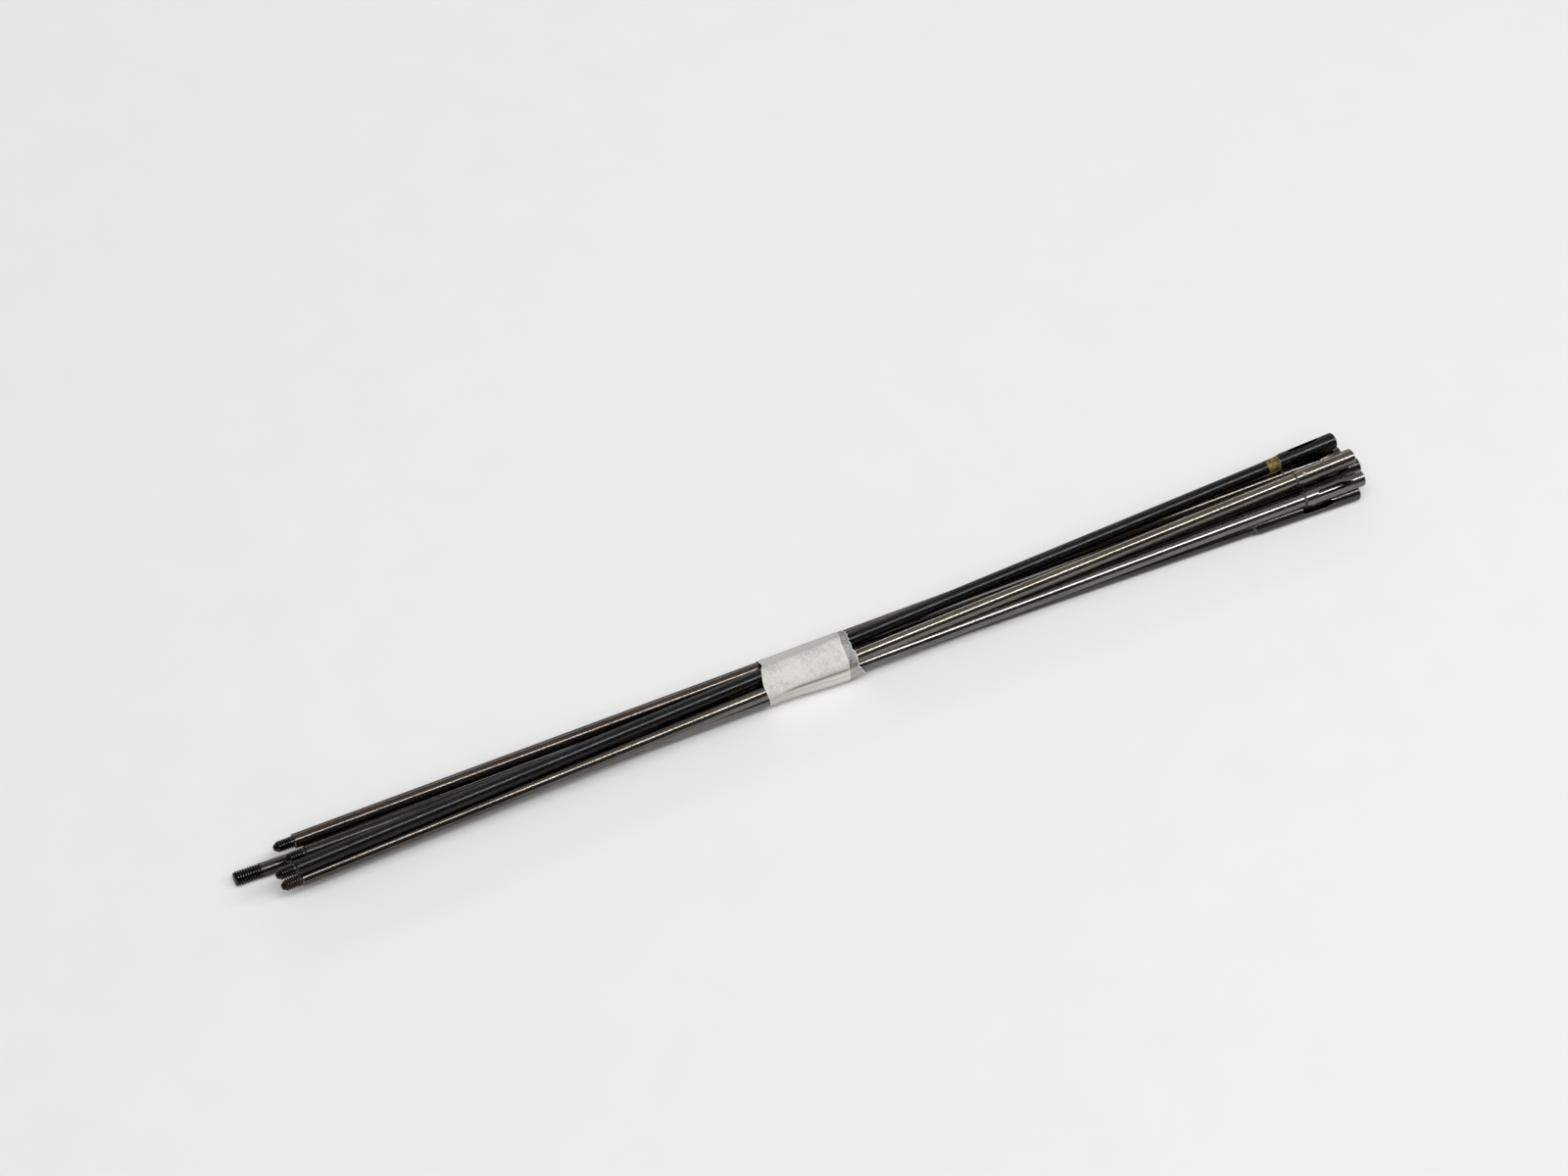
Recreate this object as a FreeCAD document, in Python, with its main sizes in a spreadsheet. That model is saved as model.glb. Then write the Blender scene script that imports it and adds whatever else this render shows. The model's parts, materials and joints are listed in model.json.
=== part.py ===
"""Avalanche probe of the screw-together kind: six steel sections, taped into a bundle.

Each section is a round steel bar with a threaded stud at one end and a socket sleeve at the
other.  The sleeve is pinned and brazed over a spigot on the bar, has a window slot in its side,
and its threaded mouth takes the next section's stud.  One section is longer: its thread is cut
at the bar's full diameter, and its sleeve is a long one.  Two turns of tape hold the bundle.

Frame: millimetres, +Z up.  The origin is on the ground under the middle of the bundle, +X runs
along it towards the sockets and +Y towards its back.
"""
import FreeCAD, Part
import Sketcher
import math
import os

from collections import namedtuple

V = FreeCAD.Vector
doc = FreeCAD.newDocument("avalanche_probe")

# ------------------------------------------------------------------ driving dimensions

DIMENSIONS = [
    # the bar
    ("bar_diameter", 7.94, "5/16 inch round steel"),
    ("shoulder_bevel", 0.6, "bevel on the bar's shoulder"),
    # the stud of a standard section, 1/4 inch with 20 turns to the inch
    ("stud_diameter", 6.35, "over the crests"),
    ("stud_length", 11.0, "from the shoulder to the tip"),
    ("pilot_length", 2.8, "conical lead that finds the next socket"),
    ("pilot_end_diameter", 2.6, "flat end of the pilot"),
    ("neck_length", 0.9, "plain neck between the thread and the shoulder"),
    ("neck_diameter", 6.0, "plain neck, a little under the crests"),
    ("stud_pitch", 1.27, "thread pitch"),
    # the tail thread of the long section, 5/16 inch with 18 turns to the inch
    ("tail_thread_length", 15.5, "length of the tail thread"),
    ("tail_chamfer", 0.8, "chamfer on the tail's end"),
    ("tail_pitch", 1.411, "thread pitch"),
    ("thread_depth", 0.6134, "depth of a thread, as a share of its pitch"),
    ("thread_half_width", 0.5774, "half width of a 60 degree groove over its depth"),
    ("thread_overcut", 0.2, "how far a thread's tool reaches past the surface it cuts"),
    # the socket sleeve
    ("sleeve_diameter", 9.6, "outside diameter"),
    ("sleeve_length", 37.5, "standard sleeve"),
    ("long_sleeve_length", 67.5, "sleeve of the long section"),
    ("sleeve_bevel_length", 3.2, "bevelled base, where the brazing sits"),
    ("sleeve_bevel_diameter", 8.6, "thin end of the bevel"),
    ("mouth_bevel", 0.5, "bevel round the mouth"),
    ("fit_clearance", 0.02, "radial gap of the spigot in the sleeve and the pin in its hole"),
    ("spigot_diameter", 6.35, "end of the bar inside the sleeve"),
    ("spigot_length", 7.5, "length of the spigot"),
    ("register_diameter", 6.9, "plain counterbore, clear of the thread's roots"),
    ("register_length", 2.0, "depth of the counterbore"),
    ("tapped_diameter", 5.2, "inside diameter of the socket's thread"),
    ("tapped_length", 5.5, "length of the socket's thread"),
    # the window slot in the sleeve's side
    ("slot_width", 4.0, "width"),
    ("slot_length", 22.6, "from the round end to the tip of the run-out"),
    ("slot_run_out", 7.0, "tapered end, towards the mouth"),
    ("slot_tip_width", 1.0, "width at the run-out's tip"),
    ("slot_to_mouth", 7.6, "from the run-out's tip to the mouth"),
    ("long_slot_to_mouth", 15.0, "the same in the long sleeve"),
    # the cross pin
    ("pin_diameter", 2.4, "shank"),
    ("pin_position", 4.6, "from the sleeve's base"),
    ("pin_proud", 0.15, "how far each peened end stands over the sleeve"),
    ("pin_dome", 0.3, "bevel of the peened ends"),
    # the brazing
    ("braze_gap", 0.01, "gap that keeps the brazing clear of the bar"),
    ("braze_length", 1.4, "length of the usual brazed fillet on the bar"),
    ("braze_run_out", 8.0, "length of the brass on the first section's bar"),
    ("braze_skin", 0.12, "thickness of the brass where it thins out"),
    # the tape
    ("tape_middle", -13.3, "the outer turn's middle, along X"),
    ("tape_width", 48.0, "width of the roll"),
    ("tape_thickness", 0.15, "one turn"),
    ("tape_gap", 0.1, "gap between the bars and the first turn"),
    ("tape_layer_gap", 0.02, "gap between the two turns"),
    ("tape_shift", 7.5, "how far the inner turn is shifted towards the sockets"),
]

# How each section lies in the bundle.  Its centre line crosses the plane X = 0 at (side,
# height), swings towards +Y by swing degrees and climbs by rise degrees on its way to the socket.
# reach is the distance from that plane back to the bar's stud end, length runs from there to the
# socket's mouth, and roll turns the slot.
Section = namedtuple(
    "Section", "number side height swing rise reach length roll is_long long_braze"
)
SECTIONS = [
    Section(1, 0.88, 22.43, 2.09, 0.08, 314.9, 647.5, -25.0, False, True),
    Section(2, 9.96, 15.43, -0.01, -0.43, 308.1, 643.5, 7.0, False, False),
    Section(3, -7.94, 18.49, 0.72, 0.99, 312.9, 647.5, -63.0, False, False),
    Section(4, 0.55, 13.53, -0.01, -0.65, 305.2, 647.5, 36.0, False, False),
    Section(5, -7.23, 10.35, -1.13, 0.93, 295.9, 632.0, 38.0, False, False),
    Section(6, -1.58, 4.48, -2.05, 0.07, 342.6, 677.0, 50.0, True, False),
]


def fill_sheet():
    """Write the driving dimensions and the lay of the sections into the spreadsheet."""
    rows = list(DIMENSIONS)
    for section in SECTIONS:
        name = "section_%d" % section.number
        rows.append((name + "_side", section.side, "centre line in Y, at X = 0"))
        rows.append((name + "_height", section.height, "centre line in Z, at X = 0"))
        rows.append((name + "_swing", section.swing, "degrees towards +Y"))
        rows.append((name + "_rise", section.rise, "degrees upwards"))
        rows.append((name + "_reach", section.reach, "from X = 0 to the stud end"))
        rows.append((name + "_length", section.length, "from the stud end to the mouth"))
        rows.append((name + "_roll", section.roll, "degrees about the section's own axis"))
    table = doc.addObject("Spreadsheet::Sheet", "dim")
    table.Label = "dimensions"
    for number, (alias, amount, note) in enumerate(rows, start=1):
        table.set("A%d" % number, alias)
        table.set("B%d" % number, str(amount))
        table.set("C%d" % number, note)
        table.setAlias("B%d" % number, alias)
    doc.recompute()
    return table


sheet = fill_sheet()


def size(text):
    """The value of an expression on the sheet's dimensions."""
    return float(sheet.evalExpression(text))


# ------------------------------------------------------------------ sketches and features

def reference(body, role):
    """One of the body's own origin planes or axes, found by its role."""
    return [item for item in body.Origin.OriginFeatures if item.Role == role][0]


def new_sketch(body, name, plane):
    """An empty sketch on one of the body's own origin planes."""
    sketch = body.newObject("Sketcher::SketchObject", name)
    sketch.AttachmentSupport = [(reference(body, plane), "")]
    sketch.MapMode = "FlatFace"
    return sketch


def bind(sketch, text, *rule):
    """Add a dimension to a sketch, with an expression for its value."""
    number = sketch.addConstraint(Sketcher.Constraint(*rule, size(text)))
    sketch.setExpression("Constraints[%d]" % number, text)


def hold(sketch, line, texts):
    """Hold the start of a line by one bound dimension each way, or on the axis where it is 0."""
    for direction, axis, text in zip(("DistanceX", "DistanceY"), (-2, -1), texts):
        if size(text) == 0:
            sketch.addConstraint(Sketcher.Constraint("PointOnObject", line, 1, axis))
        else:
            bind(sketch, text, direction, -1, 1, line, 1)


def outline(body, name, corners):
    """A closed outline of straight lines in the body's XZ plane.

    corners is a list of (along, out) pairs of expressions on the sheet's dimensions.
    """
    sketch = new_sketch(body, name, "XZ_Plane")
    places = [V(size(along), size(out), 0) for along, out in corners]
    for start, end in zip(places, places[1:] + places[:1]):
        sketch.addGeometry(Part.LineSegment(start, end))
    for number, texts in enumerate(corners):
        following = (number + 1) % len(corners)
        sketch.addConstraint(Sketcher.Constraint("Coincident", number, 2, following, 1))
        hold(sketch, number, texts)
    return sketch


def turn(body, corners):
    """Turn a half profile about the body's X axis."""
    revolution = body.newObject("PartDesign::Revolution", "turned")
    revolution.Profile = outline(body, "profile", corners)
    revolution.ReferenceAxis = (reference(body, "X_Axis"), [""])
    revolution.Angle = 360
    return revolution


def cut_thread(body, crest, into, start, length, pitch):
    """Cut a right-hand thread about the X axis with a triangular tool.

    crest is the radius of the wall that is cut, and into is "-" for an outer thread, whose
    grooves go towards the axis, or "+" for a thread in a hole.
    """
    away = "-" if into == "+" else "+"
    reach = "(dim.thread_depth * %s + dim.thread_overcut) * dim.thread_half_width" % pitch
    floor = "%s %s dim.thread_depth * %s" % (crest, into, pitch)
    open_side = "%s %s dim.thread_overcut" % (crest, away)
    corners = [
        (start, floor),
        ("%s + %s" % (start, reach), open_side),
        ("%s - %s" % (start, reach), open_side),
    ]
    helix = body.newObject("PartDesign::SubtractiveHelix", "thread")
    helix.Profile = outline(body, "thread_tool", corners)
    helix.ReferenceAxis = (reference(body, "X_Axis"), [""])
    helix.Mode = "pitch-height-angle"
    helix.setExpression("Pitch", pitch)
    helix.setExpression("Height", length)
    return helix


def cross_hole(body, along):
    """Drill the cross pin's hole along Y, right through the body."""
    sketch = new_sketch(body, "cross_hole_outline", "XZ_Plane")
    radius = "dim.pin_diameter / 2 + dim.fit_clearance"
    sketch.addGeometry(Part.Circle(V(size(along), 0, 0), V(0, 0, 1), size(radius)))
    sketch.addConstraint(Sketcher.Constraint("PointOnObject", 0, 3, -1))
    bind(sketch, along, "DistanceX", -1, 1, 0, 3)
    bind(sketch, radius, "Radius", 0)
    pocket = body.newObject("PartDesign::Pocket", "cross_hole")
    pocket.Profile = sketch
    pocket.Midplane = True
    pocket.setExpression("Length", "2 * dim.sleeve_diameter")
    return pocket


def window_slot(body, tip):
    """Mill the window slot through the sleeve's +Z wall: a round end and a tapered run-out."""
    sketch = new_sketch(body, "slot_outline", "XY_Plane")
    run_out = "%s - dim.slot_run_out" % tip
    round_centre = "%s - dim.slot_length + dim.slot_width / 2" % tip
    half = "dim.slot_width / 2"
    half_tip = "dim.slot_tip_width / 2"
    corners = [
        (round_centre, "-" + half),
        (run_out, "-" + half),
        (tip, "-" + half_tip),
        (tip, half_tip),
        (run_out, half),
        (round_centre, half),
    ]
    places = [V(size(along), size(out), 0) for along, out in corners]
    for start, end in zip(places, places[1:]):
        sketch.addGeometry(Part.LineSegment(start, end))
    circle = Part.Circle(V(size(round_centre), 0, 0), V(0, 0, 1), size(half))
    arc = sketch.addGeometry(Part.ArcOfCircle(circle, math.pi / 2, 3 * math.pi / 2))
    near_side, near_taper, end, far_taper, far_side = range(arc)
    for line in range(near_side, far_side):
        sketch.addConstraint(Sketcher.Constraint("Coincident", line, 2, line + 1, 1))
    sketch.addConstraint(Sketcher.Constraint("Tangent", arc, 2, near_side, 1))
    sketch.addConstraint(Sketcher.Constraint("Tangent", far_side, 2, arc, 1))
    sketch.addConstraint(Sketcher.Constraint("Horizontal", near_side))
    sketch.addConstraint(Sketcher.Constraint("Horizontal", far_side))
    sketch.addConstraint(Sketcher.Constraint("PointOnObject", arc, 3, -1))
    bind(sketch, round_centre, "DistanceX", -1, 1, arc, 3)
    bind(sketch, half, "Radius", arc)
    bind(sketch, run_out, "DistanceX", -1, 1, near_taper, 1)
    bind(sketch, run_out, "DistanceX", -1, 1, far_side, 1)
    hold(sketch, end, corners[end])
    hold(sketch, far_taper, corners[far_taper])
    pocket = body.newObject("PartDesign::Pocket", "window_slot")
    pocket.Profile = sketch
    pocket.Reversed = True
    pocket.setExpression("Length", "dim.sleeve_diameter")
    return pocket


# ------------------------------------------------------------------ where a section lies

def new_body(label, section, along="0", turned=0.0):
    """A body in a section's own frame, moved along its axis and turned about its own Z axis."""
    name = "section_%d" % section.number
    swing = size("dim.%s_swing" % name)
    rise = size("dim.%s_rise" % name)
    roll = size("dim.%s_roll" % name)
    heading = FreeCAD.Rotation(swing, -rise, 0)
    direction = heading.multVec(V(1, 0, 0))
    crossing = V(0, size("dim.%s_side" % name), size("dim.%s_height" % name))
    stud_end = crossing - direction * size("dim.%s_reach" % name)
    frame = FreeCAD.Placement(stud_end, heading * FreeCAD.Rotation(V(1, 0, 0), roll))
    shift = FreeCAD.Placement(V(size(along), 0, 0), FreeCAD.Rotation(V(0, 0, 1), turned))
    body = doc.addObject("PartDesign::Body", label)
    body.Label = label
    body.Placement = frame * shift
    return body


def sleeve_length(section):
    """The length of a section's sleeve, as an expression."""
    return "dim.long_sleeve_length" if section.is_long else "dim.sleeve_length"


def bar_length(section):
    """From a bar's stud end to its sleeve's base, as an expression."""
    return "(dim.section_%d_length - %s)" % (section.number, sleeve_length(section))


# ------------------------------------------------------------------ the pieces of a section

def make_bar(section):
    """Round bar with its stud, or the long section's tail thread, and the spigot."""
    body = new_body("bar_%d" % section.number, section)
    long_end = bar_length(section)
    if section.is_long:
        stud_side = [
            ("0", "0"),
            ("0", "dim.bar_diameter / 2 - dim.tail_chamfer"),
            ("dim.tail_chamfer", "dim.bar_diameter / 2"),
        ]
    else:
        stud_side = [
            ("-dim.stud_length", "0"),
            ("-dim.stud_length", "dim.pilot_end_diameter / 2"),
            ("dim.pilot_length - dim.stud_length", "dim.stud_diameter / 2"),
            ("-dim.neck_length", "dim.stud_diameter / 2"),
            ("-dim.neck_length", "dim.neck_diameter / 2"),
            ("0", "dim.neck_diameter / 2"),
            ("0", "dim.bar_diameter / 2 - dim.shoulder_bevel"),
            ("dim.shoulder_bevel", "dim.bar_diameter / 2"),
        ]
    spigot_side = [
        (long_end, "dim.bar_diameter / 2"),
        (long_end, "dim.spigot_diameter / 2"),
        (long_end + " + dim.spigot_length", "dim.spigot_diameter / 2"),
        (long_end + " + dim.spigot_length", "0"),
    ]
    turn(body, stud_side + spigot_side)
    cross_hole(body, long_end + " + dim.pin_position")
    if section.is_long:
        start = "-dim.tail_pitch"
        cut_thread(body, "dim.bar_diameter / 2", "-", start, "dim.tail_thread_length", "dim.tail_pitch")
    else:
        start = "dim.stud_pitch - dim.stud_length"
        length = "dim.stud_length - dim.neck_length - 1.5 * dim.stud_pitch"
        cut_thread(body, "dim.stud_diameter / 2", "-", start, length, "dim.stud_pitch")
    return body


def make_sleeve(section):
    """Socket sleeve: bevelled base, window slot, pin hole, threaded mouth with a counterbore."""
    body = new_body("socket_sleeve_%d" % section.number, section, bar_length(section))
    length = sleeve_length(section)
    to_slot = "dim.long_slot_to_mouth" if section.is_long else "dim.slot_to_mouth"
    outside = "dim.sleeve_diameter / 2"
    bore = "dim.spigot_diameter / 2 + dim.fit_clearance"
    register_end = length + " - dim.register_length"
    tapped_end = register_end + " - dim.tapped_length"
    turn(body, [
        ("0", bore),
        ("0", "dim.sleeve_bevel_diameter / 2"),
        ("dim.sleeve_bevel_length", outside),
        (length + " - dim.mouth_bevel", outside),
        (length, outside + " - dim.mouth_bevel"),
        (length, "dim.register_diameter / 2"),
        (register_end, "dim.register_diameter / 2"),
        (register_end, "dim.tapped_diameter / 2"),
        (tapped_end, "dim.tapped_diameter / 2"),
        (tapped_end, bore),
    ])
    window_slot(body, "%s - %s" % (length, to_slot))
    cross_hole(body, "dim.pin_position")
    start = tapped_end + " - dim.stud_pitch"
    thread_length = "dim.tapped_length + 2 * dim.stud_pitch"
    cut_thread(body, "dim.tapped_diameter / 2", "+", start, thread_length, "dim.stud_pitch")
    return body


def make_brazing(section):
    """Ring of brazing brass that closes the step from the sleeve's base down to the bar."""
    body = new_body("brazing_%d" % section.number, section, bar_length(section))
    length = "dim.braze_run_out" if section.long_braze else "dim.braze_length"
    inside = "dim.bar_diameter / 2 + dim.braze_gap"
    thin_end = [("-" + length, inside), ("-" + length, inside + " + dim.braze_skin")]
    if section.long_braze:
        thin_end.append(("-dim.braze_length", inside + " + dim.braze_skin"))
    thick_end = [("-dim.braze_gap", "dim.sleeve_bevel_diameter / 2"), ("-dim.braze_gap", inside)]
    turn(body, thin_end + thick_end)
    return body


def make_pin(section):
    """Cross pin through the sleeve and the spigot, peened over at both ends."""
    along = bar_length(section) + " + dim.pin_position"
    body = new_body("cross_pin_%d" % section.number, section, along, 90.0)
    end = "dim.sleeve_diameter / 2 + dim.pin_proud"
    domed = "dim.pin_diameter / 2 - dim.pin_dome"
    turn(body, [
        ("-(%s)" % end, "0"),
        ("-(%s)" % end, domed),
        ("dim.pin_dome - (%s)" % end, "dim.pin_diameter / 2"),
        (end + " - dim.pin_dome", "dim.pin_diameter / 2"),
        (end, domed),
        (end, "0"),
    ])
    return body


# ------------------------------------------------------------------ the tape

def hull(places):
    """The convex hull of (y, z) places, in order round it."""
    def turns_left(a, b, c):
        return (b[0] - a[0]) * (c[1] - a[1]) - (b[1] - a[1]) * (c[0] - a[0]) > 0

    def half(ordered):
        chain = []
        for place in ordered:
            while len(chain) > 1 and not turns_left(chain[-2], chain[-1], place):
                chain.pop()
            chain.append(place)
        return chain[:-1]

    places = sorted(places)
    return half(places) + half(places[::-1])


def bar_centres(x):
    """Where the sections' centre lines cross the plane at x, as (y, z) places."""
    centres = []
    for section in SECTIONS:
        name = "dim.section_%d" % section.number
        swing = math.radians(size(name + "_swing"))
        rise = math.radians(size(name + "_rise"))
        side = size(name + "_side") + x * math.tan(swing)
        height = size(name + "_height") + x * math.tan(rise) / math.cos(swing)
        centres.append((side, height))
    return centres


def tape_path(first, last):
    """The line that a string pulled round all the centre lines takes, from X = first to last."""
    places = [V(0, y, z) for y, z in hull(bar_centres(first) + bar_centres(last))]
    return Part.makePolygon(places + places[:1])


def make_tape_turn(label, path, gap, first):
    """One turn of tape: a closed band stretched round the bars, gap clear of them."""
    clear = size("dim.bar_diameter / 2") + gap
    inner = Part.Face(path.makeOffset2D(clear))
    outer = Part.Face(path.makeOffset2D(clear + size("dim.tape_thickness")))
    ring = outer.cut(inner)
    ring.translate(V(first, 0, 0))
    band = doc.addObject("Part::Feature", label)
    band.Label = label
    band.Shape = ring.extrude(V(size("dim.tape_width"), 0, 0)).Solids[0]
    band.Placement = FreeCAD.Placement()
    return band


def make_tape():
    """Two turns of tape, the inner one shifted towards the sockets."""
    outer_start = size("dim.tape_middle - dim.tape_width / 2")
    inner_start = size("dim.tape_middle - dim.tape_width / 2 + dim.tape_shift")
    path = tape_path(outer_start, size("dim.tape_middle + dim.tape_width / 2 + dim.tape_shift"))
    inner_gap = size("dim.tape_gap")
    outer_gap = size("dim.tape_gap + dim.tape_thickness + dim.tape_layer_gap")
    return [
        make_tape_turn("tape_inner_turn", path, inner_gap, inner_start),
        make_tape_turn("tape_outer_turn", path, outer_gap, outer_start),
    ]


# ------------------------------------------------------------------ build, check and write

pieces = []
for section in SECTIONS:
    pieces += [make_bar(section), make_sleeve(section), make_brazing(section), make_pin(section)]
pieces += make_tape()
doc.recompute()

for item in doc.Objects:
    if "Invalid" in item.State or "Error" in item.State:
        raise RuntimeError("%s did not compute: %s" % (item.Name, item.State))
for piece in pieces:
    if piece.Shape.isNull() or not piece.Shape.isValid() or len(piece.Shape.Solids) != 1:
        raise RuntimeError("%s is not one valid solid" % piece.Label)

os.makedirs("parts", exist_ok=True)
for piece in pieces:
    piece.Shape.exportStep("parts/%s.step" % piece.Label)
print("%d pieces written" % len(pieces))
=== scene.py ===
"""Looks for the sectional avalanche probe: six steel sections, bundled with a band of tape.

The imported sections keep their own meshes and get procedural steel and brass.  The two turns of
tape are rebuilt here as thin, creased, torn paper.  Everything is in metres, in the part's frame.
"""

import json
import math
from dataclasses import dataclass

import bpy
import numpy as np
from mathutils import Matrix, Vector, noise


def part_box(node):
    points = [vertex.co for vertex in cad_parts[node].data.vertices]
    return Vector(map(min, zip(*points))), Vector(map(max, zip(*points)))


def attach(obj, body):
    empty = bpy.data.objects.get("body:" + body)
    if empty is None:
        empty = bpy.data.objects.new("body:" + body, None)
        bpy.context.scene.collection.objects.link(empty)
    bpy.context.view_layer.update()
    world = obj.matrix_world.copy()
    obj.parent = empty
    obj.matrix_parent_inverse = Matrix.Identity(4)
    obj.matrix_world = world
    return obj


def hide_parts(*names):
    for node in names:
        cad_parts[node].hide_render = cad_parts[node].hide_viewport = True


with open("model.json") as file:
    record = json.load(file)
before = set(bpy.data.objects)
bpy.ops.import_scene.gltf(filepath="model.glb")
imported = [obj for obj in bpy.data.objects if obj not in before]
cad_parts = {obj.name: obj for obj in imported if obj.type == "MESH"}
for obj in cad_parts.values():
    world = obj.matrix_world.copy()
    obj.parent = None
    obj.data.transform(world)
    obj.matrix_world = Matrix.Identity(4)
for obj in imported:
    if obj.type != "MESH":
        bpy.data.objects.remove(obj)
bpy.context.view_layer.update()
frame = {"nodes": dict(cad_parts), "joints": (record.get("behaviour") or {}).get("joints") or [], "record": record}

MM = 0.001
scene = bpy.context.scene

# ------------------------------------------------------------------ what the frame says

mounts = {mount["name"]: mount for mount in frame["record"]["mounts"]}
joints = {joint["child"]: joint for joint in frame["joints"]}
BRASS_SECTION = 1
RUSTY_PIN_SECTION = 3
TAIL_SECTION = 6
BAR_RADIUS = mounts["tail_thread_%d" % TAIL_SECTION]["dims"]["r_mm"] * MM


class Section:
    """A section's centre line: a point in its mouth and the unit vector towards the socket end."""

    def __init__(self, number):
        self.number = number
        self.body = "section_%d" % number
        self.mouth = Vector(mounts["socket_mouth_%d" % number]["pos_m"])
        self.along = Vector(joints[self.body]["axis"]).normalized()

    def at(self, x):
        """Where the centre line crosses the plane at x, as (y, z)."""
        place = self.mouth + self.along * ((x - self.mouth.x) / self.along.x)
        return np.array((place.y, place.z))

    def start_of(self, node):
        """A node's lowest distance along the centre line, from the mouth point."""
        mesh = frame["nodes"][node].data
        return min((vertex.co - self.mouth).dot(self.along) for vertex in mesh.vertices)


sections = [Section(number) for number in range(1, len(joints) + 1)]

# ------------------------------------------------------------------ node helpers

EDGE_SAMPLES = 6
# cosine of the angle between the bevelled and the true normal: on a smooth face, and at an edge
SMOOTH_FACE = 0.99
SHARP_EDGE = 0.84


class Shader:
    """A material's node tree, with one short call for each node it needs."""

    def __init__(self, name):
        self.material = bpy.data.materials.new(name)
        self.material.use_nodes = True
        self.tree = self.material.node_tree
        self.tree.nodes.clear()
        self.output = self.tree.nodes.new("ShaderNodeOutputMaterial")
        self.surface = self.tree.nodes.new("ShaderNodeBsdfPrincipled")
        self.link(self.surface.outputs["BSDF"], self.output.inputs["Surface"])

    def link(self, source, target):
        self.tree.links.new(source, target)

    def put(self, value, target):
        """Set an input to a value, or link a socket into it."""
        if isinstance(value, bpy.types.NodeSocket):
            self.link(value, target)
        else:
            target.default_value = value

    def set(self, name, value):
        """Set one of the surface's inputs."""
        self.put(value, self.surface.inputs[name])

    def coordinates(self, section=None):
        """Object coordinates, or a section's own: X along it from the mouth."""
        source = self.tree.nodes.new("ShaderNodeTexCoord").outputs["Object"]
        if section is None:
            return source
        turned = section.along.to_track_quat("X", "Z").to_matrix().transposed()
        return self.mapping(source, turned.to_euler(), turned @ -section.mouth)

    def stretched(self, place, along, around=1.0):
        """Coordinates whose features grow 1 / along times longer and 1 / around times wider."""
        return self.mapping(place, scale=(along, around, around))

    def mapping(self, source, rotation=(0, 0, 0), location=(0, 0, 0), scale=(1, 1, 1)):
        node = self.tree.nodes.new("ShaderNodeMapping")
        node.inputs["Rotation"].default_value = rotation
        node.inputs["Location"].default_value = location
        node.inputs["Scale"].default_value = scale
        self.link(source, node.inputs["Vector"])
        return node.outputs["Vector"]

    def noise(self, vector, size, detail, roughness, seed):
        """Noise whose features are about size metres across, from 0 to 1."""
        node = self.tree.nodes.new("ShaderNodeTexNoise")
        node.noise_dimensions = "4D"
        self.link(vector, node.inputs["Vector"])
        node.inputs["W"].default_value = seed
        node.inputs["Scale"].default_value = 1.0 / size
        node.inputs["Detail"].default_value = detail
        node.inputs["Roughness"].default_value = roughness
        return node.outputs["Fac"]

    def cells(self, vector, size, seed):
        """Distance to the nearest of many points scattered size metres apart, as a share of size."""
        node = self.tree.nodes.new("ShaderNodeTexVoronoi")
        node.voronoi_dimensions = "4D"
        self.link(vector, node.inputs["Vector"])
        node.inputs["W"].default_value = seed
        node.inputs["Scale"].default_value = 1.0 / size
        return node.outputs["Distance"]

    def step(self, value, low, high, to_low=0.0, to_high=1.0):
        """Smooth step of a value from low to high."""
        node = self.tree.nodes.new("ShaderNodeMapRange")
        node.interpolation_type = "SMOOTHSTEP"
        self.put(value, node.inputs["Value"])
        node.inputs["From Min"].default_value = low
        node.inputs["From Max"].default_value = high
        node.inputs["To Min"].default_value = to_low
        node.inputs["To Max"].default_value = to_high
        return node.outputs["Result"]

    def math(self, operation, first, second):
        node = self.tree.nodes.new("ShaderNodeMath")
        node.operation = operation
        self.put(first, node.inputs[0])
        self.put(second, node.inputs[1])
        return node.outputs["Value"]

    def plus(self, first, second):
        return self.math("ADD", first, second)

    def times(self, first, second):
        return self.math("MULTIPLY", first, second)

    def mix(self, share, first, second):
        """Mix two colours."""
        node = self.tree.nodes.new("ShaderNodeMix")
        node.data_type = "RGBA"
        self.put(share, node.inputs["Factor"])
        for value, socket in ((first, node.inputs["A"]), (second, node.inputs["B"])):
            if not isinstance(value, bpy.types.NodeSocket):
                value = (*value, 1.0)
            self.put(value, socket)
        return node.outputs["Result"]

    def part(self, vector, axis):
        """One coordinate of a vector."""
        node = self.tree.nodes.new("ShaderNodeSeparateXYZ")
        self.link(vector, node.inputs["Vector"])
        return node.outputs[axis]

    def attribute(self, name):
        node = self.tree.nodes.new("ShaderNodeAttribute")
        node.attribute_name = name
        return node.outputs["Fac"]

    def edges(self, width):
        """1 along the sharp edges of the shape, falling to 0 at width metres from them."""
        bevel = self.tree.nodes.new("ShaderNodeBevel")
        bevel.samples = EDGE_SAMPLES
        bevel.inputs["Radius"].default_value = width
        true = self.tree.nodes.new("ShaderNodeNewGeometry")
        dot = self.tree.nodes.new("ShaderNodeVectorMath")
        dot.operation = "DOT_PRODUCT"
        self.link(bevel.outputs["Normal"], dot.inputs[0])
        self.link(true.outputs["True Normal"], dot.inputs[1])
        return self.step(dot.outputs["Value"], SMOOTH_FACE, SHARP_EDGE)

    def bump(self, amount, depth):
        """A bump of a given depth in metres; returns the normal."""
        node = self.tree.nodes.new("ShaderNodeBump")
        node.inputs["Strength"].default_value = 1.0
        node.inputs["Distance"].default_value = depth
        self.link(amount, node.inputs["Height"])
        return node.outputs["Normal"]


# ------------------------------------------------------------------ steel and brass


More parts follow.
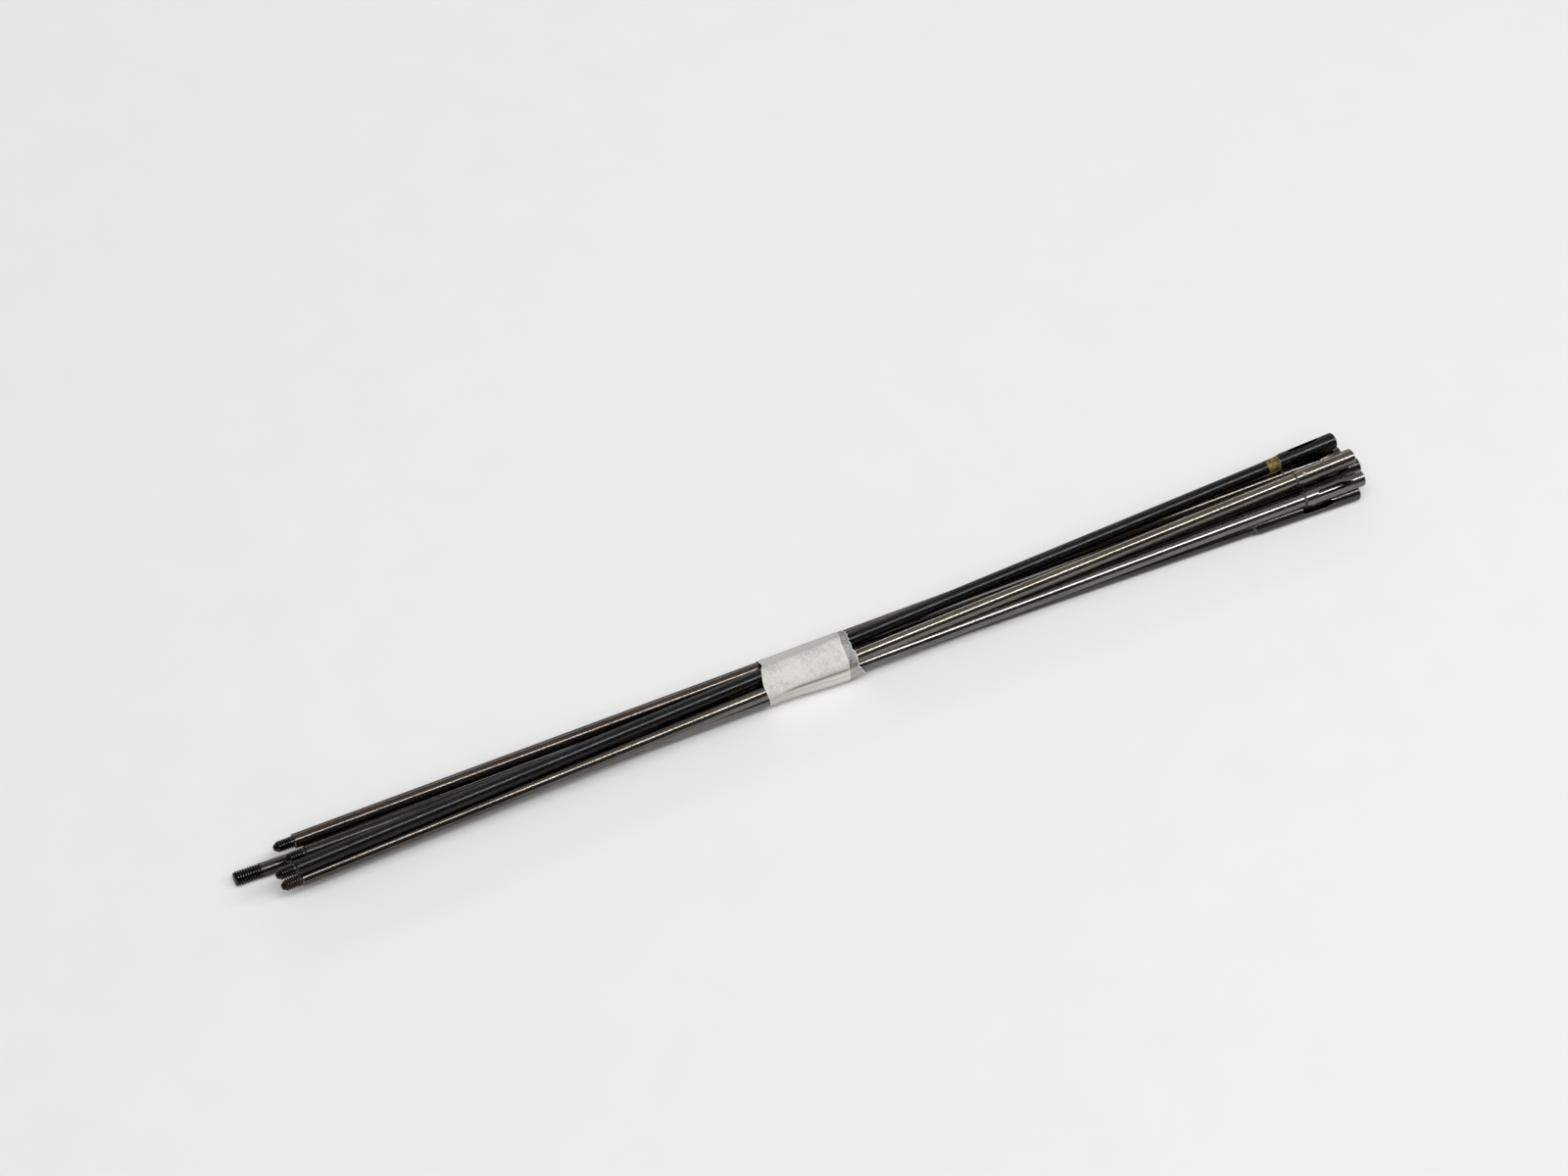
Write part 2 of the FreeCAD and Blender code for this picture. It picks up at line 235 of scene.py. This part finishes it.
@dataclass(frozen=True)
class Finish:
    """How one section's steel has aged.

    dark and light are the colours that its steel is mottled with, and end is the colour of its
    stud or tail thread.  rust_share, pits, scratches and worn run from 0 to 1, and streak is how
    much the grain follows the bar: small for long drawn lines.  worn lightens the sharp edges and
    thread crests, partly as wear and partly as a painted highlight.  tarnish is how much darker it
    gets towards the stud end.
    """

    dark: tuple
    light: tuple
    rust: tuple
    end: tuple
    rust_share: float
    roughness: float
    pits: float
    scratches: float
    streak: float
    worn_and_glint: float
    tarnish: float


BLACK_STEEL = (0.070, 0.067, 0.064)
RUSTY_STUD = (0.055, 0.026, 0.019)

FINISHES = {
    # blued nearly black, with light scratches
    1: Finish(
        dark=(0.031, 0.031, 0.032), light=(0.076, 0.076, 0.078), rust=(0.05, 0.04, 0.035),
        end=BLACK_STEEL, rust_share=0.05, roughness=0.26, pits=0.3, scratches=0.9, streak=0.08,
        worn_and_glint=0.5, tarnish=0.0,
    ),
    # brown-grey, fairly smooth
    2: Finish(
        dark=(0.135, 0.108, 0.092), light=(0.225, 0.190, 0.165), rust=(0.090, 0.060, 0.045),
        end=BLACK_STEEL, rust_share=0.15, roughness=0.16, pits=0.35, scratches=0.4, streak=0.30,
        worn_and_glint=0.6, tarnish=0.15,
    ),
    # worn bright, with a brown cast and rusty specks
    3: Finish(
        dark=(0.220, 0.188, 0.156), light=(0.420, 0.378, 0.330), rust=(0.120, 0.080, 0.052),
        end=RUSTY_STUD, rust_share=0.22, roughness=0.17, pits=0.7, scratches=0.4, streak=0.35,
        worn_and_glint=0.9, tarnish=0.60,
    ),
    # dark and dull
    4: Finish(
        dark=(0.040, 0.038, 0.036), light=(0.110, 0.105, 0.100), rust=(0.060, 0.044, 0.036),
        end=BLACK_STEEL, rust_share=0.20, roughness=0.24, pits=0.5, scratches=0.4, streak=0.15,
        worn_and_glint=0.6, tarnish=0.1,
    ),
    # polished and pitted
    5: Finish(
        dark=(0.190, 0.182, 0.172), light=(0.420, 0.408, 0.390), rust=(0.110, 0.085, 0.064),
        end=BLACK_STEEL, rust_share=0.22, roughness=0.17, pits=1.0, scratches=0.4, streak=0.45,
        worn_and_glint=1.0, tarnish=0.35,
    ),
    # plain and dark grey
    6: Finish(
        dark=(0.075, 0.070, 0.066), light=(0.175, 0.167, 0.160), rust=(0.080, 0.062, 0.050),
        end=BLACK_STEEL, rust_share=0.22, roughness=0.20, pits=0.6, scratches=0.3, streak=0.30,
        worn_and_glint=0.8, tarnish=0.0,
    ),
}
SCRATCH_METAL = (0.30, 0.30, 0.30)
# bright edge colour: worn metal, and a painted highlight on edges and thread crests
WORN_AND_GLINT_METAL = (0.62, 0.60, 0.57)
PIT_RUST = (0.040, 0.030, 0.024)
TARNISHED = (0.055, 0.047, 0.038)
# along the section, from its mouth
TARNISH_START = -280 * MM
TARNISH_END = -600 * MM

STREAK_WIDTH = 0.6 * MM
GRAIN_WIDTH = 0.25 * MM
CLOUD_SIZE = 14 * MM
BLOTCH_SIZE = 3 * MM
SCRATCH_WIDTH = 0.35 * MM
PIT_SPACING = 1.1 * MM
# width of the lightened edges, both wear and painted highlight
WORN_AND_GLINT_WIDTH = 0.75 * MM
THREAD_FADE = 0.3 * MM
STEEL_RELIEF = 0.05 * MM


def steel(name, section, finish, shoulder=None):
    """Aged steel.  shoulder is the distance along the section where its thread ends."""
    shader = Shader(name)
    seed = 7.3 * section.number
    place = shader.coordinates(section)
    distance = shader.part(place, "X")
    drawn = shader.stretched(place, finish.streak)
    streaks = shader.noise(drawn, STREAK_WIDTH, 4.0, 0.66, seed)
    fine = shader.noise(drawn, GRAIN_WIDTH, 2.0, 0.6, seed + 1)
    cloud = shader.noise(shader.stretched(place, 0.35), CLOUD_SIZE, 5.0, 0.6, seed + 2)
    blotch = shader.noise(shader.stretched(place, 0.5), BLOTCH_SIZE, 6.0, 0.70, seed + 3)

    # mottled steel, darker towards the stud end
    tone = shader.times(shader.plus(streaks, cloud), 0.5)
    colour = shader.mix(shader.step(tone, 0.30, 0.70), finish.dark, finish.light)
    aged = shader.step(distance, TARNISH_START, TARNISH_END, 0.0, finish.tarnish)
    aged = shader.times(aged, shader.step(blotch, 0.25, 0.60, 0.7, 1.0))
    colour = shader.mix(aged, colour, TARNISHED)

    # blotches of rust
    rust_start = 0.70 - 0.35 * finish.rust_share
    rusted = shader.step(blotch, rust_start, rust_start + 0.10 + 0.05 * finish.rust_share)
    rusted = shader.times(rusted, 0.7)
    colour = shader.mix(rusted, colour, finish.rust)

    # scratches along the bar
    scratch = shader.noise(shader.stretched(place, 0.03), SCRATCH_WIDTH, 2.0, 0.5, seed + 5)
    scratch = shader.step(scratch, 0.66, 0.74, 0.0, 0.5 * finish.scratches)
    colour = shader.mix(scratch, colour, SCRATCH_METAL)

    # patches of small rusty pits
    pit = shader.step(shader.cells(place, PIT_SPACING, seed), 0.30, 0.12)
    pit = shader.times(pit, shader.step(cloud, 0.42, 0.58))
    pit = shader.times(pit, finish.pits)
    colour = shader.mix(shader.times(pit, 0.75), colour, PIT_RUST)

    # sharp edges lightened, partly as wear and partly as a painted highlight; less so on the thread, which has its
    # own colour
    worn_and_glint = shader.times(shader.edges(WORN_AND_GLINT_WIDTH), shader.step(fine, 0.25, 0.50))
    worn_and_glint = shader.times(worn_and_glint, finish.worn_and_glint)
    if shoulder is not None:
        threaded = shader.step(distance, shoulder + THREAD_FADE, shoulder - THREAD_FADE)
        colour = shader.mix(threaded, colour, finish.end)
        if finish.end is RUSTY_STUD:
            rusted = shader.math("MAXIMUM", rusted, shader.times(threaded, 0.4))
        worn_and_glint = shader.times(worn_and_glint, shader.step(threaded, 0.0, 1.0, 1.0, 0.25))
    colour = shader.mix(worn_and_glint, colour, WORN_AND_GLINT_METAL)

    shader.set("Base Color", colour)
    shader.set("Metallic", shader.step(rusted, 0.0, 1.0, 1.0, 0.35))
    rough = shader.step(fine, 0.30, 0.75, finish.roughness - 0.06, finish.roughness + 0.10)
    rough = shader.plus(rough, shader.times(rusted, 0.30))
    rough = shader.plus(rough, shader.times(pit, 0.25))
    shader.set("Roughness", rough)
    height = shader.times(shader.plus(streaks, fine), 0.35)
    height = shader.plus(height, shader.times(blotch, 0.5 * finish.pits))
    height = shader.math("SUBTRACT", height, shader.times(pit, 0.5))
    shader.set("Normal", shader.bump(height, STEEL_RELIEF))
    return shader.material


# dull, bright and crusted colours: ochre brass, and brass as dark as the steel
OCHRE_BRASS = ((0.115, 0.076, 0.020), (0.330, 0.230, 0.070), (0.050, 0.036, 0.014))
DARK_BRASS = ((0.050, 0.045, 0.040), (0.130, 0.120, 0.108), (0.030, 0.026, 0.022))
PIN_METAL = (0.60, 0.58, 0.54)
PIN_RUST = (0.20, 0.085, 0.045)


def brazing(name, section):
    """Brazing brass, mottled from dull to bright and crusted with old flux."""
    dull, bright, crust = OCHRE_BRASS if section.number == BRASS_SECTION else DARK_BRASS
    shader = Shader(name)
    place = shader.coordinates(section)
    blotch = shader.noise(place, 2.2 * MM, 5.0, 0.65, 3.1 * section.number)
    grain = shader.noise(place, 0.5 * MM, 3.0, 0.6, 2.3 * section.number)
    colour = shader.mix(shader.step(blotch, 0.40, 0.62), dull, bright)
    colour = shader.mix(shader.step(grain, 0.55, 0.68), colour, crust)
    shader.set("Base Color", colour)
    shader.set("Metallic", 0.6)
    shader.set("Roughness", shader.step(grain, 0.3, 0.7, 0.36, 0.60))
    shader.set("Normal", shader.bump(blotch, 0.08 * MM))
    return shader.material


def rusty_pin(name, section):
    """A peened pin: bright, with a rusty middle."""
    shader = Shader(name)
    place = shader.coordinates(section)
    rust = shader.noise(place, 0.8 * MM, 4.0, 0.6, 1.7 * section.number)
    colour = shader.mix(shader.step(rust, 0.40, 0.62), PIN_METAL, PIN_RUST)
    shader.set("Base Color", colour)
    shader.set("Metallic", shader.step(rust, 0.35, 0.60, 1.0, 0.3))
    shader.set("Roughness", shader.step(rust, 0.3, 0.7, 0.22, 0.55))
    shader.set("Normal", shader.bump(rust, 0.05 * MM))
    return shader.material


def dress(node, material):
    """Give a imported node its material."""
    piece = frame["nodes"][node]
    piece.data.materials.clear()
    piece.data.materials.append(material)


def shoulder_of(section):
    """Where a section's thread ends and its plain bar begins, along the section."""
    bar_end = section.start_of("bar_%d" % section.number)
    if section.number == TAIL_SECTION:
        return bar_end + mounts["tail_thread_%d" % section.number]["dims"]["length_mm"] * MM
    neck = mounts["stud_neck_%d" % section.number]
    neck_middle = (Vector(neck["pos_m"]) - section.mouth).dot(section.along)
    return neck_middle + neck["dims"]["length_mm"] / 2 * MM


def dress_sections():
    for section in sections:
        number = section.number
        finish = FINISHES[number]
        bar = "bar_%d" % number
        sleeve = "socket_sleeve_%d" % number
        ring = "brazing_%d" % number
        pin = "cross_pin_%d" % number
        dress(bar, steel(bar + "_steel", section, finish, shoulder_of(section)))
        dress(sleeve, steel(sleeve + "_steel", section, finish))
        dress(ring, brazing(ring + "_brass", section))
        if number == RUSTY_PIN_SECTION:
            dress(pin, rusty_pin(pin + "_steel", section))
        else:
            dress(pin, steel(pin + "_steel", section, finish))


dress_sections()

# ------------------------------------------------------------------ the tape

# points round the band and across it, and planes in which its line is worked out
ROUND = 560
ACROSS = 170
STATIONS = 9
# thickness of the paper, width of its white rim, and height of each turn over the bars
PAPER = 0.12 * MM
RIM = 0.35 * MM
INNER_GAP = 0.08 * MM
OUTER_GAP = 0.30 * MM
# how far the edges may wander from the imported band
EDGE_ROOM = 6 * MM
# shares of the way round, as stretched_string counts them
CREASE_SHARE = 0.735
CREASE_START = -23 * MM
FOLD_SHARE = 0.865
# painted shadow colour for the crease
PAINTED_CREASE_SHADOW = (0.190, 0.178, 0.130)
CUT_EDGE = (0.88, 0.87, 0.85)
OUTER_PAPER = (0.66, 0.645, 0.605)
OUTER_GREY = (0.31, 0.308, 0.300)
INNER_PAPER = (0.40, 0.395, 0.38)
INNER_GREY = (0.060, 0.058, 0.055)


def hull(points):
    """The convex hull of (y, z) points, anticlockwise."""
    points = sorted(map(tuple, points))

    def half(ordered):
        chain = []
        for point in ordered:
            while len(chain) > 1:
                (ay, az), (by, bz) = chain[-2], chain[-1]
                if (by - ay) * (point[1] - az) - (bz - az) * (point[0] - ay) > 0:
                    break
                chain.pop()
            chain.append(point)
        return chain[:-1]

    return np.array(half(points) + half(points[::-1]))


def stretched_string(x):
    """The closed line that a string pulled round the bars takes in the plane at x, evenly spaced.

    It starts at its lowest point and runs anticlockwise as seen from the sockets, so that a
    share of 0.25 is the back, 0.5 the top and 0.75 the front.
    """
    angles = np.linspace(0, 2 * math.pi, 180, endpoint=False)
    circle = BAR_RADIUS * np.column_stack((np.cos(angles), np.sin(angles)))
    ring = hull(np.concatenate([section.at(x) + circle for section in sections]))
    ring = np.roll(ring, -int(np.argmin(ring[:, 1])), axis=0)
    closed = np.concatenate((ring, ring[:1]))
    walked = np.concatenate(([0], np.cumsum(np.linalg.norm(np.diff(closed, axis=0), axis=1))))
    wanted = np.linspace(0, walked[-1], ROUND, endpoint=False)
    return np.column_stack([np.interp(wanted, walked, closed[:, i]) for i in (0, 1)])


def outward(ring):
    """Unit normals of an anticlockwise ring of points."""
    ahead = np.roll(ring, -1, axis=0) - np.roll(ring, 1, axis=0)
    normal = np.column_stack((ahead[:, 1], -ahead[:, 0]))
    return normal / np.linalg.norm(normal, axis=1)[:, None]


def smooth(value, low, high):
    """Smooth step from 0 at low to 1 at high."""
    t = min(1.0, max(0.0, (value - low) / (high - low)))
    return t * t * (3 - 2 * t)


def hump(value, centre, width):
    """A smooth hump of height 1."""
    return math.exp(-((value - centre) / width) ** 2)


def grain(x, y, z, size, seed):
    """Noise from -1 to 1 with features of size metres."""
    return noise.noise(Vector((x / size + seed, y / size - seed, z / size + 2 * seed)))


def crease(along, share, length):
    """The long crease across the front, at along metres from the band's middle.

    Returns how far the paper is lifted, how loose it hangs below the crease, and how deep the
    crease's painted shadow is.
    """
    wave = 0.012 * math.sin(130 * (along - CREASE_START))
    drop = 0.02 * smooth(along, 9 * MM, 25 * MM)
    below = (share - (CREASE_SHARE - wave + drop)) * length
    strength = smooth(along, CREASE_START, -1 * MM)
    valley = -0.60 * hump(below, 0, 0.6 * MM)
    ridge = 1.05 * hump(below, 2.2 * MM, 1.5 * MM)
    fold = 1.9 * smooth(along, -13 * MM, 21 * MM) * hump(share, FOLD_SHARE, 0.05)
    loose = smooth(below, 0, 1.0 * MM) * strength
    # painted shade along the crease: how dark the paper is coloured there
    shadow = smooth(along, -21 * MM, -6 * MM) * hump(below, -0.2 * MM, 1.2 * MM)
    return (strength * (valley + ridge) + fold) * MM, loose, shadow


def over_the_top(share):
    """1 across the back and the top of the band, 0 down its front."""
    return smooth(share, 0.05, 0.20) * (1 - smooth(share, 0.40, 0.54))


def outer_left(share):
    """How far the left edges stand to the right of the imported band's: the tape is wound askew."""
    return (0.2 - 3.0 * hump(share, 0.64, 0.12) + 3.0 * over_the_top(share)) * MM


def outer_right(share):
    """How far the outer turn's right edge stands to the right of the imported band's."""
    return (0.4 - 1.1 * math.cos(2 * math.pi * (share - 0.67)) + 2.6 * over_the_top(share)) * MM


def torn(share):
    """The inner turn's torn edge: it wanders, has sharp nicks, and ends in a small curled tab."""
    angle = 2 * math.pi * share
    wander = noise.noise(Vector((1.7 * math.cos(angle), 1.7 * math.sin(angle), 3.7)))
    nicks = noise.noise(Vector((7 * math.cos(angle), 7 * math.sin(angle), 9.1)))
    fray = noise.noise(Vector((40 * math.cos(angle), 40 * math.sin(angle), 5.3)))
    spread = 4.0 * hump(share, 0.86, 0.10)
    tab = 2.4 * hump(share, 0.852, 0.008)
    ragged = 0.8 * wander + 0.9 * nicks + 0.10 * fray
    return (-2.6 + ragged + spread + tab + 2.4 * over_the_top(share)) * MM


class Wrap:
    """Rings of stretched string at even stations along the tape, and their outward normals."""

    def __init__(self, first, last):
        self.first = first
        self.spacing = (last - first) / (STATIONS - 1)
        stops = np.linspace(first, last, STATIONS)
        self.rings = np.array([stretched_string(x) for x in stops])
        self.normals = np.array([outward(ring) for ring in self.rings])
        steps = np.diff(self.rings[STATIONS // 2], axis=0)
        self.length = float(np.linalg.norm(steps, axis=1).sum())

    def at(self, x, j):
        """Point j of the string in the plane at x, and its normal."""
        station = (x - self.first) / self.spacing
        k = min(max(int(station), 0), STATIONS - 2)
        blend = station - k
        place = self.rings[k, j] * (1 - blend) + self.rings[k + 1, j] * blend
        normal = self.normals[k, j] * (1 - blend) + self.normals[k + 1, j] * blend
        return place, normal


def wrinkle(x, place, slack, loose, bare):
    """Height of the small wrinkles: of slack paper, of loose paper, and of a bare inner turn."""
    height = 0.10 * slack * grain(x, *place, 6 * MM, 1.7)
    height += 0.03 * grain(x, *place, 1.5 * MM, 4.1)
    height += 0.09 * loose * grain(2.2 * x, *place, 2.6 * MM, 6.7)
    height += 0.16 * bare * grain(x, *place, 2.4 * MM, 3.3)
    height += 0.07 * bare * grain(x, *place, 0.9 * MM, 8.3)
    return height * MM


def free_height(x, place):
    """How far a point stands off the nearest bar."""
    return min(np.linalg.norm(place - section.at(x)) for section in sections) - BAR_RADIUS


def sag(free, normal):
    """How far the paper sinks where it bridges two bars: most where it faces the front."""
    facing = 2 * max(0.0, -normal[0] - 0.5)
    return max(0.0, free - 0.1 * MM) * (0.05 + 0.12 * facing)


def crowded(even):
    """Even shares of the width, from 0 to 1, drawn closer together towards both edges."""
    return 0.35 * even + 0.65 * (0.5 - 0.5 * math.cos(math.pi * even))


def make_turn(node, name, gap, left, right, crumple):
    """A thin closed band of paper pulled round the bars, dented and creased where it bridges them.

    gap is how far it stands off the bars, left and right give how far its edges wander, and
    crumple is how much the paper wrinkles where no other turn lies over it.
    """
    low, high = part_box(node)
    over_low, over_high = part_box("tape_outer_turn")
    middle = (over_low.x + over_high.x) / 2
    wrap = Wrap(low.x - EDGE_ROOM, high.x + EDGE_ROOM)
    outer = np.zeros((ACROSS, ROUND, 3))
    inner = np.zeros((ACROSS, ROUND, 3))
    # how far the paper is stuck to a bar, part of a cut edge, hanging loose, or under the crease's painted shadow
    shares = {key: np.zeros((ACROSS, ROUND)) for key in ("stuck", "rim", "lifted", "shadow")}
    for j in range(ROUND):
        share = j / ROUND
        first = low.x + left(share)
        last = high.x + right(share)
        cover_edge = over_high.x + outer_right(share)
        for i in range(ACROSS):
            x = first + (last - first) * crowded(i / (ACROSS - 1))
            place, normal = wrap.at(x, j)
            free = free_height(x, place)
            raised, loose, shadow = crease(x - middle, share, wrap.length)
            slack = min(1.0, free / (0.5 * MM)) + loose
            bare = crumple * smooth(x, cover_edge, cover_edge + MM)
            off = gap + PAPER - sag(free, normal) + raised + wrinkle(x, place, slack, loose, bare)
            off = max(off, gap + PAPER - free)
            outer[i, j] = (x, *(place + normal * off))
            inner[i, j] = (x, *(place + normal * (off - PAPER)))
            shares["stuck"][i, j] = math.exp(-max(0.0, free + raised) / (0.5 * MM))
            shares["rim"][i, j] = math.exp(-(min(x - first, last - x) / RIM) ** 2)
            shares["lifted"][i, j] = loose
            shares["shadow"][i, j] = shadow
    piece = band(name, outer, inner, shares)
    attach(piece, "tape")
    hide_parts(node)
    return piece


def band(name, outer, inner, shares):
    """A closed mesh from a band's outer and inner faces, with the named shares on its points."""
    points = np.concatenate((outer.reshape(-1, 3), inner.reshape(-1, 3)))
    inside = ACROSS * ROUND

    def corner(i, j, offset=0):
        return offset + i * ROUND + j % ROUND

    faces = []
    for i in range(ACROSS - 1):
        for j in range(ROUND):
            quad = (corner(i, j), corner(i + 1, j), corner(i + 1, j + 1), corner(i, j + 1))
            faces.append(quad[::-1])
            faces.append(tuple(inside + number for number in quad))
    for i, flip in ((0, True), (ACROSS - 1, False)):
        for j in range(ROUND):
            quad = (corner(i, j), corner(i, j + 1), corner(i, j + 1, inside), corner(i, j, inside))
            faces.append(quad[::-1] if flip else quad)
    mesh = bpy.data.meshes.new(name)
    mesh.from_pydata(points.tolist(), [], faces)
    for key, values in shares.items():
        mesh.attributes.new(key, "FLOAT", "POINT")
        mesh.attributes[key].data.foreach_set("value", np.tile(values.ravel(), 2).astype(np.float32))
    mesh.shade_smooth()
    piece = bpy.data.objects.new(name, mesh)
    scene.collection.objects.link(piece)
    return piece


def paper(name, base, shade, speckle, patches):
    """Crepe masking paper: matt, greyer where it is stuck down, white along its cut edges, with a painted shadow
    in the crease.

    speckle and patches are how strong the fine grain and the grey patches are.
    """
    shader = Shader(name)
    place = shader.coordinates()
    crepe = shader.noise(shader.stretched(place, 0.6), 0.42 * MM, 3.0, 0.7, 2.0)
    cross = shader.noise(shader.stretched(place, 1.0, 0.4), 0.5 * MM, 2.0, 0.6, 3.0)
    mottle = shader.noise(place, 3 * MM, 6.0, 0.68, 6.0)
    cloud = shader.noise(place, 14 * MM, 2.0, 0.5, 9.0)
    fine = shader.plus(shader.times(crepe, 0.6), shader.times(cross, 0.4))
    fine = shader.step(fine, 0.46, 0.62, 0.0, speckle)
    stuck = shader.step(shader.attribute("stuck"), 0.0, 0.9, 0.35, 1.0)
    grey = shader.times(stuck, shader.step(mottle, 0.34, 0.70, 0.0, patches))
    amount = shader.plus(grey, fine)
    amount = shader.times(amount, shader.step(cloud, 0.35, 0.60, 0.45, 1.0))
    calm = shader.step(shader.attribute("lifted"), 0.0, 1.0, 1.0, 0.25)
    amount = shader.math("MINIMUM", shader.times(amount, calm), 1.0)
    colour = shader.mix(amount, base, shade)
    # the crease's shadow, painted into the paper's colour
    shadow = shader.times(shader.attribute("shadow"), 0.95)
    colour = shader.mix(shadow, colour, PAINTED_CREASE_SHADOW)
    rim = shader.times(shader.attribute("rim"), 0.8)
    colour = shader.mix(rim, colour, CUT_EDGE)
    shader.set("Base Color", colour)
    shader.set("Roughness", 0.6)
    shader.set("Specular IOR Level", 0.3)
    height = shader.plus(crepe, cross)
    shader.set("Normal", shader.bump(height, 0.06 * MM))
    return shader.material


def make_tape():
    outer = make_turn("tape_outer_turn", "tape_outer_wrap", OUTER_GAP, outer_left, outer_right, 0.0)
    outer_paper = paper("tape_paper_outer", OUTER_PAPER, OUTER_GREY, speckle=0.60, patches=0.50)
    outer.data.materials.append(outer_paper)
    inner = make_turn("tape_inner_turn", "tape_inner_wrap", INNER_GAP, outer_left, torn, 1.0)
    inner_paper = paper("tape_paper_inner", INNER_PAPER, INNER_GREY, speckle=0.90, patches=0.60)
    inner.data.materials.append(inner_paper)


make_tape()

# ------------------------------------------------------------------ floor, light and camera

VIEW_AZIMUTH = math.radians(-26.50)
VIEW_ELEVATION = math.radians(48.0)
VIEW_DISTANCE = 2.453
VIEW_AIM = Vector((0.0062, 0.0601, 0.012))
LENS = 101.25
SENSOR = 36.0
FLOOR_HALF = 4.0
FLOOR_MOTTLE = 40 * MM
FLOOR_DARK = (0.80, 0.80, 0.80)
FLOOR_LIGHT = (0.83, 0.83, 0.828)
FLOOR_IN_STEEL = (0.44, 0.44, 0.44)
ROOM_LIGHT = 0.22
WALL_IN_STEEL = 0.05
CEILING_IN_STEEL = 0.26
FILL_HEIGHT = math.radians(62)
FILL_SPREAD = math.radians(50)

# away from the camera along the floor
AWAY = Vector((-math.sin(VIEW_AZIMUTH), math.cos(VIEW_AZIMUTH), 0))
UP = Vector((0, 0, 1))

ROOM_COLOUR = (1.0, 0.99, 0.98, 1)
CEILING_MIDDLE = (AWAY * 0.6 + UP * 0.8).normalized()
# cosines of the angle from the ceiling's middle: where it begins, and where it has its full light
CEILING_EDGE = 0.30
CEILING_FULL = 0.75


def make_floor():
    """A pale sheet under the object, which the steel sees darker."""
    mesh = bpy.data.meshes.new("floor")
    signs = ((-1, -1), (1, -1), (1, 1), (-1, 1))
    mesh.from_pydata([(x * FLOOR_HALF, y * FLOOR_HALF, 0) for x, y in signs], [], [(0, 1, 2, 3)])
    floor = bpy.data.objects.new("floor", mesh)
    scene.collection.objects.link(floor)
    shader = Shader("floor_paper")
    mottle = shader.noise(shader.coordinates(), FLOOR_MOTTLE, 4.0, 0.5, 1.0)
    pale = shader.mix(mottle, FLOOR_DARK, FLOOR_LIGHT)
    path = shader.tree.nodes.new("ShaderNodeLightPath")
    shader.set("Base Color", shader.mix(path.outputs["Is Glossy Ray"], pale, FLOOR_IN_STEEL))
    shader.set("Roughness", 0.8)
    shader.set("Specular IOR Level", 0.2)
    mesh.materials.append(shader.material)


def soft_light(name, towards, distance, width, length, brightness):
    """A rectangular soft box over the bundle, its long side along the bars."""
    back = towards.normalized()
    side = (Vector((1, 0, 0)) - back * back.x).normalized()
    up = back.cross(side)
    lamp = bpy.data.lights.new(name, "AREA")
    lamp.shape = "RECTANGLE"
    lamp.size = length
    lamp.size_y = width
    lamp.energy = brightness * math.pi * length * width
    box = bpy.data.objects.new(name, lamp)
    scene.collection.objects.link(box)
    turn = Matrix((side, up, back)).transposed()
    box.matrix_world = Matrix.Translation(back * distance) @ turn.to_4x4()


def make_room():
    """A pale room for the floor, which the steel sees as a grey ceiling over a dark front wall."""
    world = bpy.data.worlds.new("studio")
    scene.world = world
    world.use_nodes = True
    nodes = world.node_tree.nodes
    link = world.node_tree.links.new
    background = nodes["Background"]
    background.inputs["Color"].default_value = ROOM_COLOUR
    path = nodes.new("ShaderNodeLightPath")
    facing = nodes.new("ShaderNodeVectorMath")
    facing.operation = "DOT_PRODUCT"
    facing.inputs[1].default_value = CEILING_MIDDLE
    link(nodes.new("ShaderNodeTexCoord").outputs["Generated"], facing.inputs[0])
    ceiling = nodes.new("ShaderNodeMapRange")
    ceiling.interpolation_type = "SMOOTHSTEP"
    ceiling.inputs["From Min"].default_value = CEILING_EDGE
    ceiling.inputs["From Max"].default_value = CEILING_FULL
    ceiling.inputs["To Min"].default_value = WALL_IN_STEEL
    ceiling.inputs["To Max"].default_value = CEILING_IN_STEEL
    link(facing.outputs["Value"], ceiling.inputs["Value"])
    strength = nodes.new("ShaderNodeMapRange")
    strength.inputs["To Min"].default_value = ROOM_LIGHT
    link(ceiling.outputs["Result"], strength.inputs["To Max"])
    link(path.outputs["Is Glossy Ray"], strength.inputs["Value"])
    link(strength.outputs["Result"], background.inputs["Strength"])


def even_light(name, towards, spread, brightness):
    """Parallel light that brightens the floor evenly and leaves no reflection in the steel."""
    lamp = bpy.data.lights.new(name, "SUN")
    lamp.angle = spread
    lamp.energy = brightness * math.pi
    sun = bpy.data.objects.new(name, lamp)
    scene.collection.objects.link(sun)
    sun.rotation_euler = towards.to_track_quat("Z", "Y").to_euler()
    sun.visible_glossy = False


def make_light():
    make_room()
    above_front = Vector((0.30, -0.43, 0.85))
    behind = Vector((0.10, 0.85, 0.50))
    soft_light("key", above_front, distance=2.55, width=0.34, length=2.85, brightness=7.6)
    soft_light("rim", behind, distance=2.4, width=0.32, length=2.3, brightness=2.0)
    over_camera = UP * math.sin(FILL_HEIGHT) - AWAY * math.cos(FILL_HEIGHT)
    even_light("fill", over_camera, FILL_SPREAD, brightness=0.60)
    scene.view_settings.view_transform = "Standard"


def make_camera():
    lens = bpy.data.cameras.new("camera")
    lens.lens = LENS
    lens.sensor_width = SENSOR
    camera = bpy.data.objects.new("camera", lens)
    scene.collection.objects.link(camera)
    back = -AWAY * math.cos(VIEW_ELEVATION) + UP * math.sin(VIEW_ELEVATION)
    camera.location = VIEW_AIM + back * VIEW_DISTANCE
    camera.rotation_euler = back.to_track_quat("Z", "Y").to_euler()
    scene.camera = camera


make_floor()
make_light()
make_camera()
